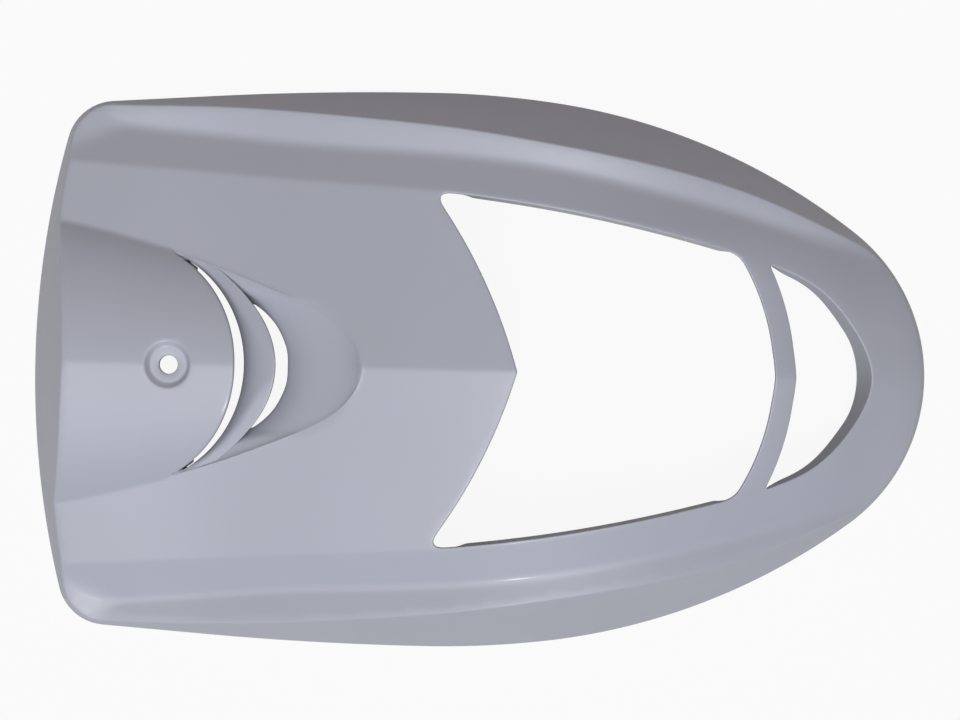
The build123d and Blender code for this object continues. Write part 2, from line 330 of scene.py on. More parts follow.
def rim_curve(step):
    """Half of the rim from the nose to the middle of the rear end."""
    points, normals = [], []
    at, heading = np.array([HALF_LENGTH, 0.0]), math.pi / 2
    for radius, sweep in RIM_ARCS:
        centre = at + radius * np.array([-math.sin(heading), math.cos(heading)])
        p, n = arc_points(centre, radius, heading, heading + math.radians(sweep), step)
        points.append(p[:-1])
        normals.append(n[:-1])
        at, heading = p[-1], heading + math.radians(sweep)
    along = np.array([math.cos(heading), math.sin(heading)])
    inward = np.array([-math.sin(heading), math.cos(heading)])
    bow = np.array([BOW_R - HALF_LENGTH, 0.0])
    to_start = at + inward * CORNER_R - bow
    run = -to_start @ along + math.sqrt((to_start @ along) ** 2 - to_start @ to_start
                                        + (BOW_R - CORNER_R) ** 2)
    count = int(run / step)
    points.append(at + np.outer(np.linspace(0, run, count, endpoint=False), along))
    normals.append(np.tile(inward, (count, 1)))
    corner = at + along * run + inward * CORNER_R
    turned_to = math.atan2(*(corner - bow)[::-1]) + math.pi / 2
    p, n = arc_points(corner, CORNER_R, heading, turned_to, step)
    points.append(p[:-1])
    normals.append(n[:-1])
    p, n = arc_points(bow, BOW_R, turned_to, 1.5 * math.pi, step)
    points.append(p)
    normals.append(n)
    points, normals = np.concatenate(points), np.concatenate(normals)
    points[[0, -1], 1] = 0
    normals[[0, -1], 1] = 0
    return points, normals


rim, rim_in = rim_curve(RIM_STEP)
print("rim points:", len(rim), "corner near", rim[np.argmin(rim[:, 0] - 2 * rim[:, 1])])

# %% [markdown]
# ## Outer crest
# The outer wall flares by 28 degrees and ends where it meets the brim, so the crest is found by
# climbing the wall until the visible top is reached. Circles in plan bound the hood's lip and the
# slat, and say which surface is on top.

# %% Outer crest
LIP = (-167.0, 57.0)
SLAT_IN = (-163.6, 56.0)
SLAT_TIP, SLAT_BOW = -92.0, 0.01446
FLARE = slope(28)
WALL = 2.6
CREST_SOFT = 0.8
CREST_ROUNDS = 20


def top_height(x, y):
    """The visible top over the whole plan."""
    under_hood = (x < LIP[0]) | (np.hypot(x - LIP[0], y) < LIP[1])
    in_slat = x < SLAT_TIP - SLAT_BOW * y * y
    return np.where(under_hood, hood_top(x, y), np.where(in_slat, slat_height(x, y), scoop_height(x, y)))


crest_z = np.full(len(rim), 10.0)
for _ in range(CREST_ROUNDS):
    crest = rim + rim_in * (crest_z * FLARE)[:, None]
    crest_z = np.maximum(top_height(crest[:, 0], crest[:, 1]), WALL)
print("crest height, nose to rear:", np.round(crest_z[::60], 1))

# %% [markdown]
# ## Lamp opening
# The headlamp looks through this opening. Its rear edge is a swept chevron, its sides and its front
# are shallow arcs, and its corners are round. It could be cut with a boolean, but as a closed chain
# it gives clean edges from which the flanges can hang. It keeps its plan at every height.

# %% Lamp opening
LAMP_TIP, LAMP_REAR_MIDDLE, LAMP_REAR = (16.4, 0.0), (1.35, 40.0), (-23.0, 80.4)
LAMP_SIDE_MIDDLE, LAMP_FRONT, LAMP_FRONT_X = (40.0, 71.1), (115.6, 55.0), 132.1
REAR_REACH, FRONT_REACH = 9.5, 4.5
EDGE_STEP, SIDE_STEP, NEAR_MIDDLE = 1.5, 2.0, 0.4
PEAK, PEAK_REACH = 0.6, 12.0


def three_point_arc(a, b, c, step):
    """Points of the arc from a over b to c."""
    (ax, ay), (bx, by), (cx, cy) = a, b, c
    d = 2 * (ax * (by - cy) + bx * (cy - ay) + cx * (ay - by))
    a2, b2, c2 = ax * ax + ay * ay, bx * bx + by * by, cx * cx + cy * cy
    centre = np.array([(a2 * (by - cy) + b2 * (cy - ay) + c2 * (ay - by)) / d,
                       (a2 * (cx - bx) + b2 * (ax - cx) + c2 * (bx - ax)) / d])
    start, mid, end = (math.atan2(p[1] - centre[1], p[0] - centre[0]) for p in (a, b, c))
    mid = start + math.remainder(mid - start, 2 * math.pi)
    end = mid + math.remainder(end - mid, 2 * math.pi)
    radius = math.dist(a, centre)
    angle = np.linspace(start, end, max(2, int(abs(end - start) * radius / step) + 1))
    return centre + radius * np.stack([np.cos(angle), np.sin(angle)], 1)


def rounded_corner(before, after, reach, count=7):
    """Joins two polylines that share a corner, with a curve that starts reach away from it."""
    corner = before[-1]
    head = before[np.linalg.norm(before - corner, axis=1) > reach]
    tail = after[np.linalg.norm(after - corner, axis=1) > reach]
    t = np.linspace(0, 1, count)[1:-1, None]
    turn = (1 - t) ** 2 * head[-1] + 2 * t * (1 - t) * corner + t * t * tail[0]
    return np.concatenate([head, turn, tail])


chevron = three_point_arc(LAMP_TIP, LAMP_REAR_MIDDLE, LAMP_REAR, EDGE_STEP)
side = three_point_arc(LAMP_REAR, LAMP_SIDE_MIDDLE, LAMP_FRONT, SIDE_STEP)
front = three_point_arc(LAMP_FRONT, (LAMP_FRONT_X, 0.0), (LAMP_FRONT[0], -LAMP_FRONT[1]), EDGE_STEP)
front = front[front[:, 1] > NEAR_MIDDLE]
front[:, 0] += PEAK * np.maximum(1 - front[:, 1] / PEAK_REACH, 0)
lamp = rounded_corner(rounded_corner(chevron, side, REAR_REACH), front, FRONT_REACH)
lamp = np.concatenate([lamp, [[LAMP_FRONT_X + PEAK, 0.0]]])
lamp[0, 1] = 0
print("lamp opening points:", len(lamp))

# %% [markdown]
# ## Crescent opening
# Behind the nose a crescent is cut out, and the bar between it and the lamp opening bows with both.
# Its outer wall leans by 15 degrees, so its edge lies further out where the roof is higher. The
# edge is therefore found in a few rounds: height, then curve, then height again.

# %% Crescent opening
DRAFT = slope(15)
CRESCENT = [(182.4, 0.0, 1.0, 0.0), (166.0, 30.4, 0.75, 0.66), (151.3, 41.6, 0.4, 0.9),
            (130.2, 48.6, 0.0, 1.0)]
BAR_X, CRESCENT_LEVEL = 142.1, 26.0
CRESCENT_POINTS, CRESCENT_REACH, CRESCENT_ROUNDS = 40, 1.8, 12


def crescent_curve(grow):
    """Outer curve of the crescent, each point moved out by its own share of grow."""
    knots = np.array([(x, -y, gx, -gy) for x, y, gx, gy in CRESCENT[1:2]] + CRESCENT)
    run = np.concatenate([[0], np.cumsum(np.hypot(*np.diff(knots[:, :2], axis=0).T))])
    s = np.linspace(run[1], run[-1], CRESCENT_POINTS)
    cols = [SideLine(np.stack([run, knots[:, k]], 1))(s) for k in range(4)]
    return np.stack([cols[0] + grow * cols[2], cols[1] + grow * cols[3]], 1)


crescent_z = np.full(CRESCENT_POINTS, CRESCENT_LEVEL)
for _ in range(CRESCENT_ROUNDS):
    outer = crescent_curve((crescent_z - CRESCENT_LEVEL) * DRAFT)
    crescent_z = main_height(outer[:, 0], outer[:, 1])
outer[0, 1] = 0
bar = three_point_arc(tuple(outer[-1]), (BAR_X, 0.0), (outer[-1][0], -outer[-1][1]), EDGE_STEP)
bar = np.concatenate([bar[bar[:, 1] > NEAR_MIDDLE], [[BAR_X, 0.0]]])
bar[:, 0] += PEAK * np.maximum(1 - bar[:, 1] / PEAK_REACH, 0)
crescent = rounded_corner(outer, bar, CRESCENT_REACH)
print("crescent edge from", outer[0].round(1), "to", outer[-1].round(1))

# %% [markdown]
# ## Slots, lip and screw seat
# The louvre has two slots: one under the lip of the hood and one between the slat and the ramp. The
# screw sits in a sunk ring on the hood. All are circles or free curves in plan. Each is written as
# the true edge, and the skin will stop a little before it, which leaves room for the rounding.

# %% Slots, lip and screw seat
SPAN_1 = 48.0
SCREW_X, SEAT_R, HOLE_R, SEAT_Z = -140.2, 10.5, 4.2, 40.4
LIP_END, LIP_WIDER, LIP_WIDENS = math.radians(84), 4, (49.5, 55)
ARC_STEP, SEAT_STEP, SLAT_SPAN, SLAT_POINTS = 1.3, 0.9, 43.6, 42


def circle_arc(circle, start, end, step):
    """Arc of a circle given by its centre's x and its radius, between two angles."""
    count = int(abs(end - start) * circle[1] / step) + 2
    angle = np.linspace(start, end, count)
    return np.stack([circle[0] + circle[1] * np.cos(angle), circle[1] * np.sin(angle)], 1)


def at_span(circle, span):
    """Angle at which a circle is span away from the middle line."""
    return math.asin(span / circle[1])


slot_1_edge = circle_arc(SLAT_IN, 0, at_span(SLAT_IN, SPAN_1), ARC_STEP)
slot_2_edge = smooth_chain(SLOT_2, CHAIN_STEP)
lip_edge = circle_arc(LIP, 0, LIP_END, ARC_STEP)
# The lip widens past the first slot, so that the foot of the hood runs out inside it
lip_edge += (lip_edge - (LIP[0], 0)) / LIP[1] * LIP_WIDER * ramp(lip_edge[:, 1:], *LIP_WIDENS)
slat_y = np.linspace(0, SLAT_SPAN, SLAT_POINTS)
slat_edge = np.stack([SLAT_TIP - SLAT_BOW * slat_y ** 2, slat_y], 1)
seat_edge = circle_arc((SCREW_X, SEAT_R), 0, math.pi, SEAT_STEP)
seat_edge[[0, -1], 1] = 0
slot_1_edge[0, 1] = lip_edge[0, 1] = 0
print("points of slot 1, slot 2, lip and slat:",
      [len(curve) for curve in (slot_1_edge, slot_2_edge, lip_edge, slat_edge)])

# %% [markdown]
# ## Edges of the openings
# Every edge gets its height rule, a point inside its opening and its rounding. A Bevel modifier
# could round them all alike, but here the rounding has to fade out at the ends of the slots, where
# two edges run together.

# %% Edges of the openings
def step_back(curve, within_it, soft):
    """The curve moved away from an opening that holds the point within_it."""
    along = np.gradient(curve, axis=0)
    away = np.stack([along[:, 1], -along[:, 0]], 1) / np.linalg.norm(along, axis=1)[:, None]
    away *= np.where(((curve - within_it) * away).sum(1) < 0, -1, 1)[:, None]
    for end in (0, -1):
        if curve[end, 1] == 0:
            away[end] = (math.copysign(1, away[end, 0]), 0)
    return curve + np.multiply(soft, away.T).T


TIGHT, FADE_RUN = 0.12, 7


def fading(curve, soft, end):
    """Rounding along a curve that fades out towards the end of its slot."""
    return TIGHT + (soft - TIGHT) * (1 - ramp(curve[:, 1], end - FADE_RUN, end))


# True edge, height rule, point inside the opening, rounding, of every edge of an opening
edges = {
    "lamp": (lamp, main_height, (60.0, 10.0), 0.8),
    "crescent": (crescent, main_height, (146.0, 20.0), 0.7),
    "lip": (lip_edge, hood_height, (-60.0, 0.0), fading(lip_edge, 0.8, SPAN_1)),
    "slot_1": (slot_1_edge, slat_height, (-135.0, 15.0), fading(slot_1_edge, 0.6, SPAN_1)),
    "slat": (slat_edge, slat_height, (-60.0, 0.0), fading(slat_edge, 0.5, SLOT_2[-1][1])),
    "slot_2": (slot_2_edge, scoop_height, (-112.0, 10.0), fading(slot_2_edge, 0.9, SLOT_2[-1][1])),
    "seat": (seat_edge, hood_height, (SCREW_X, 0.0), 0.6),
}
BRINK_END, MIDDLE_STEP = -137.6, 2.0
chains = {name: step_back(curve, np.array(within_it), soft)
          for name, (curve, _, within_it, soft) in edges.items()}
for slot, across in (("slot_1", "lip"), ("slot_2", "slat")):
    end, other = chains[slot][-1], chains[across]
    chains[slot + "_end"] = np.array([end, (np.interp(end[1], other[:, 1], other[:, 0]), end[1])])
chains["brink"] = brink[brink[:, 0] > BRINK_END]
chains["crest"] = crest + rim_in * CREST_SOFT
middle_x = np.arange(chains["crest"][-1][0], chains["crest"][0][0], MIDDLE_STEP)
chains["middle"] = np.stack([np.append(middle_x, chains["crest"][0][0]),
                             np.zeros(len(middle_x) + 1)], 1)
print("chains:", {name: len(chain) for name, chain in chains.items()})

# %% [markdown]
# ## Rows along the folds
# A fold looks even only if the triangles lie along it. So rows of points follow each fold, close
# together where the surface turns and wider apart beside it. Folds that come from a rule are found
# where two heights cross.

# %% Rows along the folds
SEARCH_X, SEARCH_Y, SEARCH_POINTS = (-206.0, 206.0), (2, 128), 253


def crossing(first_height, second_height, step=2.0):
    """Where two heights cross along y, for a row of x."""
    found = []
    for x in np.arange(*SEARCH_X, step):
        y = np.linspace(*SEARCH_Y, SEARCH_POINTS)
        d = first_height(np.full_like(y, x), y) - second_height(np.full_like(y, x), y)
        k = np.flatnonzero((d[:-1] > 0) != (d[1:] > 0))
        if len(k):
            found.append((x, y[k[0]] + 0.5 * d[k[0]] / (d[k[0]] - d[k[0] + 1])))
    return np.array(found)


def roof_alone(x, y):
    return crease_line(x) - ROOF_FALL * y


def facet_alone(x, y):
    return facet_line(x) - FACET_FALL * y


def brim_alone(x, y):
    return brim_line(x) + BRIM_RISE * y


HOOD_FOOT_END, SLOT_1_ROWS_END = -132, math.radians(52)
fold_1 = crossing(roof_alone, facet_alone)
fold_2 = crossing(facet_alone, brim_alone)
foot = crossing(hood_height, roof_alone)
foot = foot[foot[:, 0] < HOOD_FOOT_END]
# Each row lies at its own distance from the fold or edge that it follows
rows = [fold_1 + (0, o) for o in (-4.2, -2.6, -1.5, -0.75, 0, 0.75, 1.5, 2.6, 4.2)]
rows += [fold_2 + (0, o) for o in (-3.6, -2.4, -1.2, 0, 1.2, 2.4, 3.6)]
rows += [foot + (0, o) for o in (-1.8, -0.9, 0, 0.9, 1.8)]
in_scoop, in_slot = np.array((-100.0, 10.0)), np.array(edges["slot_2"][2])
rows += [step_back(brink, in_scoop, o) for o in (-4.4, -3.0, -1.8, -1.0, -0.5, 0.5, 1.1, 2.0)]
rows += [step_back(slot_2_edge, in_slot, o) for o in (1.7, 2.6, 3.7, 5, 6.5, 8)]
rows += [slat_edge + (o, 0) for o in (-2.4, -1.3, 0.9, 1.8)]
rows += [circle_arc((SLAT_IN[0], SLAT_IN[1] + o), 0, SLOT_1_ROWS_END, ARC_STEP) for o in (1.4, 2.4, 3.6)]
rows += [np.stack([middle_x, np.full(len(middle_x), o)], 1) for o in (0.5, 1.2, 2.4)]
rows = np.concatenate(rows)
print("row points before thinning:", len(rows))

# %% [markdown]
# ## Scatter
# The rest of the plan is filled with a hexagonal scatter, finer round the louvre. Random points
# would do too, but a hexagonal grid gives nearly equal triangles, which shade without ripples.

# %% Scatter
ROW_SHARE, BLOCK = 0.866, 400


def hexagons(x0, x1, y0, y1, step):
    """Points of a hexagonal grid: every other row is shifted by half a step."""
    xs, ys = np.arange(x0, x1, step), np.arange(y0, y1, step * ROW_SHARE)
    gx, gy = np.meshgrid(xs, ys)
    gx = gx + (np.arange(len(ys)) % 2)[:, None] * step / 2
    return np.stack([gx.ravel(), gy.ravel()], 1)


def far_from(points, others, reach):
    """The points that keep a distance from all others, tested in blocks."""
    keep = np.ones(len(points), bool)
    for i in range(0, len(others), BLOCK):
        block = others[i:i + BLOCK]
        near = ((points[:, None, :] - block[None]) ** 2).sum(2).min(1) < reach * reach
        keep &= ~near
    return points[keep]


COARSE, COARSE_GAP, FINE, FINE_GAP = 2.9, 2.0, 1.5, 0.95
ROW_GAP, BRINK_GAP = 0.75, 0.45
PLAN_X, PLAN_Y = (-205, 208), (1, 128)
LOUVRE_X, LOUVRE_Y = (-152, -46), (0.6, 62)
chain_points = np.concatenate(list(chains.values()))
coarse = hexagons(*PLAN_X, *PLAN_Y, COARSE)
in_box = (coarse[:, 0] > LOUVRE_X[0]) & (coarse[:, 0] < LOUVRE_X[1]) & (coarse[:, 1] < LOUVRE_Y[1])
coarse = far_from(coarse[~in_box], np.concatenate([rows, chain_points]), COARSE_GAP)
fine = far_from(hexagons(*LOUVRE_X, *LOUVRE_Y, FINE), np.concatenate([rows, chain_points]), FINE_GAP)
other_chains = np.concatenate([chain for name, chain in chains.items() if name != "brink"])
rows = far_from(far_from(rows, other_chains, ROW_GAP), chains["brink"], BRINK_GAP)
scatter = np.concatenate([rows, coarse, fine])
print("chain points", len(chain_points), "rows", len(rows), "coarse", len(coarse), "fine", len(fine))

# %% [markdown]
# ## Triangles
# A constrained triangulation joins the points and keeps every chain as a row of edges. It is the
# one tool here that makes a mesh from loose points and fixed lines in a single step.

# %% Triangles
plan, links, starts = [], [], {}
for name, chain in chains.items():
    starts[name] = len(plan)
    plan += [Vector(p) for p in chain]
    links += [(i, i + 1) for i in range(starts[name], len(plan) - 1)]
plan += [Vector(p) for p in scatter]
verts, _, faces, origins, _, _ = delaunay_2d_cdt(plan, links, [], 0, 1e-4)
verts = np.array([tuple(v) for v in verts])
tri = np.array([f for f in faces if len(f) == 3])
a, b, c = (verts[tri[:, k]] for k in range(3))
area = (b[:, 0] - a[:, 0]) * (c[:, 1] - a[:, 1]) - (b[:, 1] - a[:, 1]) * (c[:, 0] - a[:, 0])
tri[area < 0] = tri[area < 0][:, ::-1]
tri = tri[np.abs(area) > 1e-4]
mx, my = verts[tri].mean(1).T
print("triangles of the whole plan:", len(tri))

# %% [markdown]
# ## Zones
# Each triangle belongs to the shell, to the hood or to the slat, or it lies in an opening and is
# dropped. Polygons closed from the chains decide this, because they end exactly on mesh edges.

# %% Zones
def closed(chain):
    """A half outline, closed below the middle line."""
    return np.concatenate([chain, [[chain[-1][0], -1], [chain[0][0], -1]]])


BEHIND_HOOD, BEHIND_SLAT, BEHIND_SLOT = [[-165.0, 140.0], [-250.0, 140.0]], [[-165.0, 60.0]], 9
hood_zone = in_polygon(mx, my, closed(np.concatenate([chains["lip"], BEHIND_HOOD])))
slat_zone = ~hood_zone & in_polygon(mx, my, closed(np.concatenate([chains["slat"], BEHIND_SLAT])))


def within(name):
    """Inside the arc of a slot, up to the straight end."""
    end = chains[name + "_end"][-1]
    behind = [end[0] - BEHIND_SLOT, 0.0]
    return in_polygon(mx, my, closed(np.concatenate([[behind, end], chains[name][::-1]])))


slot_1 = within("slot_1") & ~hood_zone
slot_2 = within("slot_2") & ~hood_zone & ~slat_zone
gone = slot_1 | slot_2 | in_polygon(mx, my, closed(chains["seat"]))
gone |= in_polygon(mx, my, closed(chains["lamp"])) | in_polygon(mx, my, closed(chains["crescent"]))
gone |= ~in_polygon(mx, my, closed(chains["crest"])) | (my < 0)
zone = np.where(hood_zone, 1, np.where(slat_zone, 2, 0))
tri, zone = tri[~gone], zone[~gone]
print("triangles kept:", len(tri), "by zone:", np.bincount(zone))

# %% [markdown]
# ## Mesh points
# A plan point gets one height for each zone that meets there. Where two zones are less than
# 0.12 mm apart they share the point, so the hood's foot closes without a seam.

# %% Mesh points
x, y = verts.T
heights = np.stack([scoop_height(x, y), hood_top(x, y), slat_height(x, y)])
SAME_HEIGHT = 0.12
first = np.zeros((3, len(x)), int)
for k in (1, 2):
    first[k] = k
    for j in range(k - 1, -1, -1):
        first[k] = np.where(np.abs(heights[k] - heights[j]) < SAME_HEIGHT, first[j], first[k])

chain_of = {}
for v, sources in enumerate(origins):
    for s in sources:
        for name in ("crest", "brink", *edges):
            if starts[name] <= s < starts[name] + len(chains[name]):
                chain_of.setdefault(v, {})[name] = s - starts[name]

index, points, skin, sharp = {}, [], [], set()


def point(v, k):
    """Index of the mesh point over plan point v on zone k."""
    key = (int(v), int(first[k, v]))
    if key not in index:
        index[key] = len(points)
        points.append((verts[v, 0], verts[v, 1], heights[key[1], v]))
    return index[key]


print("plan points on a chain:", len(chain_of))

# %% [markdown]
# ## Faces and steps
# Where two zones differ in height an upright step closes the gap between them, as at the ends of
# the lip and of the slat. The brink of the scoop is marked as a sharp edge.

# %% Faces and steps
by_edge = {}
for t, k in zip(tri, zone):
    skin.append(tuple(point(v, k) for v in t))
    for i in range(3):
        p, q = int(t[i]), int(t[i - 2])
        by_edge.setdefault(frozenset((p, q)), []).append((p, q, int(k)))
open_edges, steps = [], 0
for uses in by_edge.values():
    p, q, k = uses[0]
    if len(uses) == 1:
        open_edges.append((p, q, k))
        continue
    other = uses[1][2]
    loop = list(dict.fromkeys([point(q, k), point(p, k), point(p, other), point(q, other)]))
    if len(loop) > 2:
        skin.append(tuple(loop))
        sharp |= {frozenset((point(p, z), point(q, z))) for z in (k, other)}
        steps += 1
    elif "brink" in chain_of.get(p, {}) and "brink" in chain_of.get(q, {}):
        sharp.add(frozenset((point(p, k), point(q, k))))
print("skin faces:", len(skin), "of them steps:", steps, "open edges:", len(open_edges))

# %% [markdown]
# ## Underside
# The moulding is 2.6 mm thick. A Solidify modifier would offset along the normals and tangle in the
# tight curves of the louvre, so the inner face is the same skin, lowered and turned over.

# %% Underside
count = len(points)
points += [(px, py, pz - WALL) for px, py, pz in points]
sharp |= {frozenset(i + count for i in edge) for edge in sharp}
skin += [tuple(i + count for i in reversed(face)) for face in skin]
print("points with the underside:", len(points))

# %% [markdown]
# ## Hanging walls
# Every open edge turns down over a small rounding, and walls of different depth hang from it. One
# function does this for all: it asks for a column of points below each point of the edge, joins
# neighbouring columns with quads and closes them against the underside.

# %% Hanging walls
def hang(name, columns_of):
    """Hangs an outer and an inner row of quads from the open edges of a chain and closes them."""
    made, columns, sides = 0, {}, {}

    def column(v, k, n):
        if v not in columns:
            top = point(v, k)
            outside, inside = columns_of(n, np.array(points[top]))
            rows = []
            for first_point, spots in ((top, outside), (top + count, inside)):
                rows.append([first_point] + [len(points) + m for m in range(len(spots))])
                points.extend(tuple(float(c) for c in spot) for spot in spots)
            columns[v] = rows
        return columns[v]

    for p, q, k in open_edges:
        i, j = chain_of.get(p, {}).get(name), chain_of.get(q, {}).get(name)
        if i is None or j is None:
            continue
        closed_edges.add((p, q))
        (p_out, p_in), (q_out, q_in) = column(p, k, i), column(q, k, j)
        skin.extend((q_out[m], p_out[m], p_out[m + 1], q_out[m + 1]) for m in range(len(p_out) - 1))
        skin.extend((p_in[m], q_in[m], q_in[m + 1], p_in[m + 1]) for m in range(len(p_in) - 1))
        skin.append((q_out[-1], p_out[-1], p_in[-1], q_in[-1]))
        sharp.update((frozenset((q_out[-1], p_out[-1])), frozenset((q_in[-1], p_in[-1]))))
        for v, side in ((p, -1), (q, 1)):
            sides[v] = None if v in sides else side
        made += 1
    for v, side in sides.items():
        if side and abs(verts[v][1]) > 1e-6:
            out, inn = columns[v]
            loop = out[::-1] + inn if side < 0 else inn[::-1] + out
            skin.append(tuple(loop))
            sharp.update(frozenset((loop[m], loop[m - 1])) for m in range(len(loop)))
    print(name, "columns:", len(columns), "spans:", made)


closed_edges = set()
print("open edges to close:", len(open_edges))

# %% [markdown]
# ## Outer wall
# The flared wall runs from the crest to the rim, with a small rounding at its top. Its inner face is
# measured level, so the wall keeps its thickness down to the rim.

# %% Outer wall
def rounded(top, corner, end):
    """Three points of a rounding from top to end, with its corner between them."""
    for t in (0.35, 0.7, 1.0):
        yield (1 - t) ** 2 * top + 2 * t * (1 - t) * corner + t * t * end


CREST_TURN = 1.2


def outer_wall(n, top):
    """Flared outer wall from the crest to the rim, and its inner face."""
    corner = np.array([*crest[n], crest_z[n]])
    foot = np.array([*rim[n], 0.0])
    end = corner + (foot - corner) * min(0.5, CREST_TURN / crest_z[n])
    outside = [*rounded(top, corner, end), *(end + s * (foot - end) for s in (0.3, 0.65, 1.0))]
    inner_foot = foot + WALL / math.cos(math.atan(FLARE)) * np.array([*rim_in[n], 0.0])
    under = top - (0, 0, WALL)
    return outside, [under + s * (inner_foot - under) for s in (0.5, 1.0)]


hang("crest", outer_wall)

# %% [markdown]
# ## Flanges of the openings
# Upright flanges hang from the long sides of the lamp opening, where the lamp is held, and a leaning
# wall hangs from the outer curve of the crescent. The lip is turned down deeper at its ends. All
# other edges turn down by 2.2 mm, a little less than the thickness of the skin. The depth is one
# function of the place, so that a flange can run out smoothly.

# %% Flanges of the openings
EDGE_DEPTH, FLANGE_DEPTH, LIP_DEPTH, CRESCENT_DEPTH = 2.2, 13.0, 18.5, 15.0
FLANGE_X, FLANGE_RUN_OUT, LIP_DEEPENS = (-9.0, 112.0), 5, (43.0, 45.5)
# Only the long side of the lamp opening carries a flange: it lies beyond this leaning line
SIDE_FROM, SIDE_LEAN = 68, 0.14
# How much shallower the crescent's wall gets, between which of its points
CRESCENT_SHALLOWS = ((4.8, 0, 13), (5.0, 13, 36), (3.0, 36, 42))
LEAN_FADES = 34


def opening_depth(name, n, spot):
    """How far the edge of an opening is turned down, in millimetres."""
    x, y = spot[:2]
    on_side = y > SIDE_FROM - SIDE_LEAN * x
    if name == "lamp" and on_side:
        to_end = min(x - FLANGE_X[0], FLANGE_X[1] - x)
        return EDGE_DEPTH + (FLANGE_DEPTH - EDGE_DEPTH) * ramp(to_end, 0, FLANGE_RUN_OUT)
    if name == "lip":
        return EDGE_DEPTH + (LIP_DEPTH - EDGE_DEPTH) * ramp(y, *LIP_DEEPENS)
    if name == "crescent":
        return CRESCENT_DEPTH - sum(part * ramp(n, start, end) for part, start, end in CRESCENT_SHALLOWS)
    return EDGE_DEPTH


def opening_wall(name):
    """Rounded edge of an opening, with the flange or leaning wall that hangs from it."""
    curve, rule, _, soft = edges[name]
    soft = np.full(len(curve), 1.0) * soft
    edge_z = rule(curve[:, 0], curve[:, 1])
    away = (chains[name] - curve) / soft[:, None]
    lean = np.zeros_like(curve)
    if name == "crescent":
        fade = (1 - ramp(np.arange(CRESCENT_POINTS), LEAN_FADES, CRESCENT_POINTS))[:, None]
        size = min(CRESCENT_POINTS, len(curve))
        lean[:size] = ((crescent_curve(1.0) - crescent_curve(0.0)) * DRAFT * fade)[:size]
        lean[0, 1] = 0

    def columns_of(n, top):
        corner = np.array([*curve[n], edge_z[n]])
        down = np.array([-lean[n][0], -lean[n][1], -1.0])
        back = np.array([*away[n], 0.0])
        depth = opening_depth(name, n, corner)
        end = corner + down * soft[n]
        outside = [*rounded(top, corner, end), *(end + down * s * (depth - soft[n]) for s in (0.25, 1.0))]
        if name not in ("lamp", "crescent"):
            return outside, []
        deep = ramp(depth, EDGE_DEPTH, 5)
        # A deep wall is 2.4 mm thick, and a plain edge only has its lower corner eased
        return outside, [corner + down * (2.5 + 0.2 * deep) + back * (0.5 + 1.9 * deep),
                         corner + down * depth + back * (0.25 + 2.15 * deep)]

    return columns_of


for name in edges:
    if name != "seat":
        hang(name, opening_wall(name))

# %% [markdown]
# ## Screw seat
# A countersunk ring leads to a flat floor with the screw hole. Turned parts are often made with the
# Screw modifier. Here the profile hangs from the round edge in the hood like any other wall, so the
# seat grows out of the hood without a seam.

# %% Screw seat
SEAT_FLOOR_R = 8.3


def seat_wall(n, top):
    """Countersunk seat, its flat floor, the screw hole and the cup below them."""
    out = np.array([*(edges["seat"][0][n] - (SCREW_X, 0.0)) / SEAT_R, 0.0])

    def at(profile):
        return [np.array([SCREW_X, 0.0, z]) + out * radius for radius, z in profile]

    below = SEAT_Z - WALL
    outside = at(((SEAT_R - 0.15, top[2] - 0.15), (SEAT_R - 0.5, top[2] - 0.5),
                  (SEAT_FLOOR_R + 0.5, SEAT_Z + 0.35), (SEAT_FLOOR_R, SEAT_Z), (SEAT_FLOOR_R - 0.5, SEAT_Z),
                  (HOLE_R + 0.4, SEAT_Z), (HOLE_R + 0.1, SEAT_Z - 0.15), (HOLE_R, SEAT_Z - 0.5),
                  (HOLE_R, below + 0.2)))
    return outside, at(((SEAT_R + 0.3, below + 1.2), (SEAT_R - 0.3, below), (HOLE_R + 0.3, below)))


hang("seat", seat_wall)

# %% [markdown]
# ## Ends of the slots
# What is still open are the short straight ends of the slots. They are closed straight down. The
# first slot gets a deep tab there, which closes the view under the hood as in the photo.

# %% Ends of the slots
TAB_DEPTH, TAB_THICK, FIRST_SLOT_Y = 18.5, 1.5, 40
left = [(p, q, k) for p, q, k in open_edges
        if (p, q) not in closed_edges and max(abs(verts[p][1]), abs(verts[q][1])) > 1e-6]
for p, q, k in left:
    a, b = point(p, k), point(q, k)
    low_a, low_b = a + count, b + count
    if verts[p][1] < FIRST_SLOT_Y:
        skin.append((b, a, low_a, low_b))
        continue
    # The first slot ends at a deep tab, which closes the view under the hood
    tab = [len(points) + n for n in range(4)]
    for corner, back in ((a, 0), (b, 0), (a, TAB_THICK), (b, TAB_THICK)):
        cx, cy, cz = points[corner]
        points.append((cx, cy + back, cz - TAB_DEPTH))
    front_a, front_b, back_a, back_b = tab
    skin += [(b, a, front_a, front_b), (front_b, front_a, back_a, back_b), (back_b, back_a, low_a, low_b),
             (a, low_a, back_a, front_a), (front_b, back_b, low_b, b)]
    sharp |= {frozenset(pair) for pair in ((front_a, front_b), (back_a, back_b), (a, front_a), (b, front_b))}
print("spans closed straight down:", len(left), [tuple(verts[p].round(1)) for p, _, _ in left[:12]])

# %% [markdown]
# ## Shell
# The lists become one mesh in metres. All faces are shaded smooth except at the edges listed as
# sharp. The Mirror modifier is left live, because it keeps the two halves exactly alike.

# %% Shell
MERGE = 0.00001
mesh = bpy.data.meshes.new("panel_shell")
mesh.from_pydata([(px / 1000, py / 1000, pz / 1000) for px, py, pz in points], [], skin)
mesh.validate()
mesh.shade_smooth()
for edge in mesh.edges:
    edge.use_edge_sharp = frozenset(edge.vertices) in sharp
shell = bpy.data.objects.new("panel_shell", mesh)
bpy.context.scene.collection.objects.link(shell)

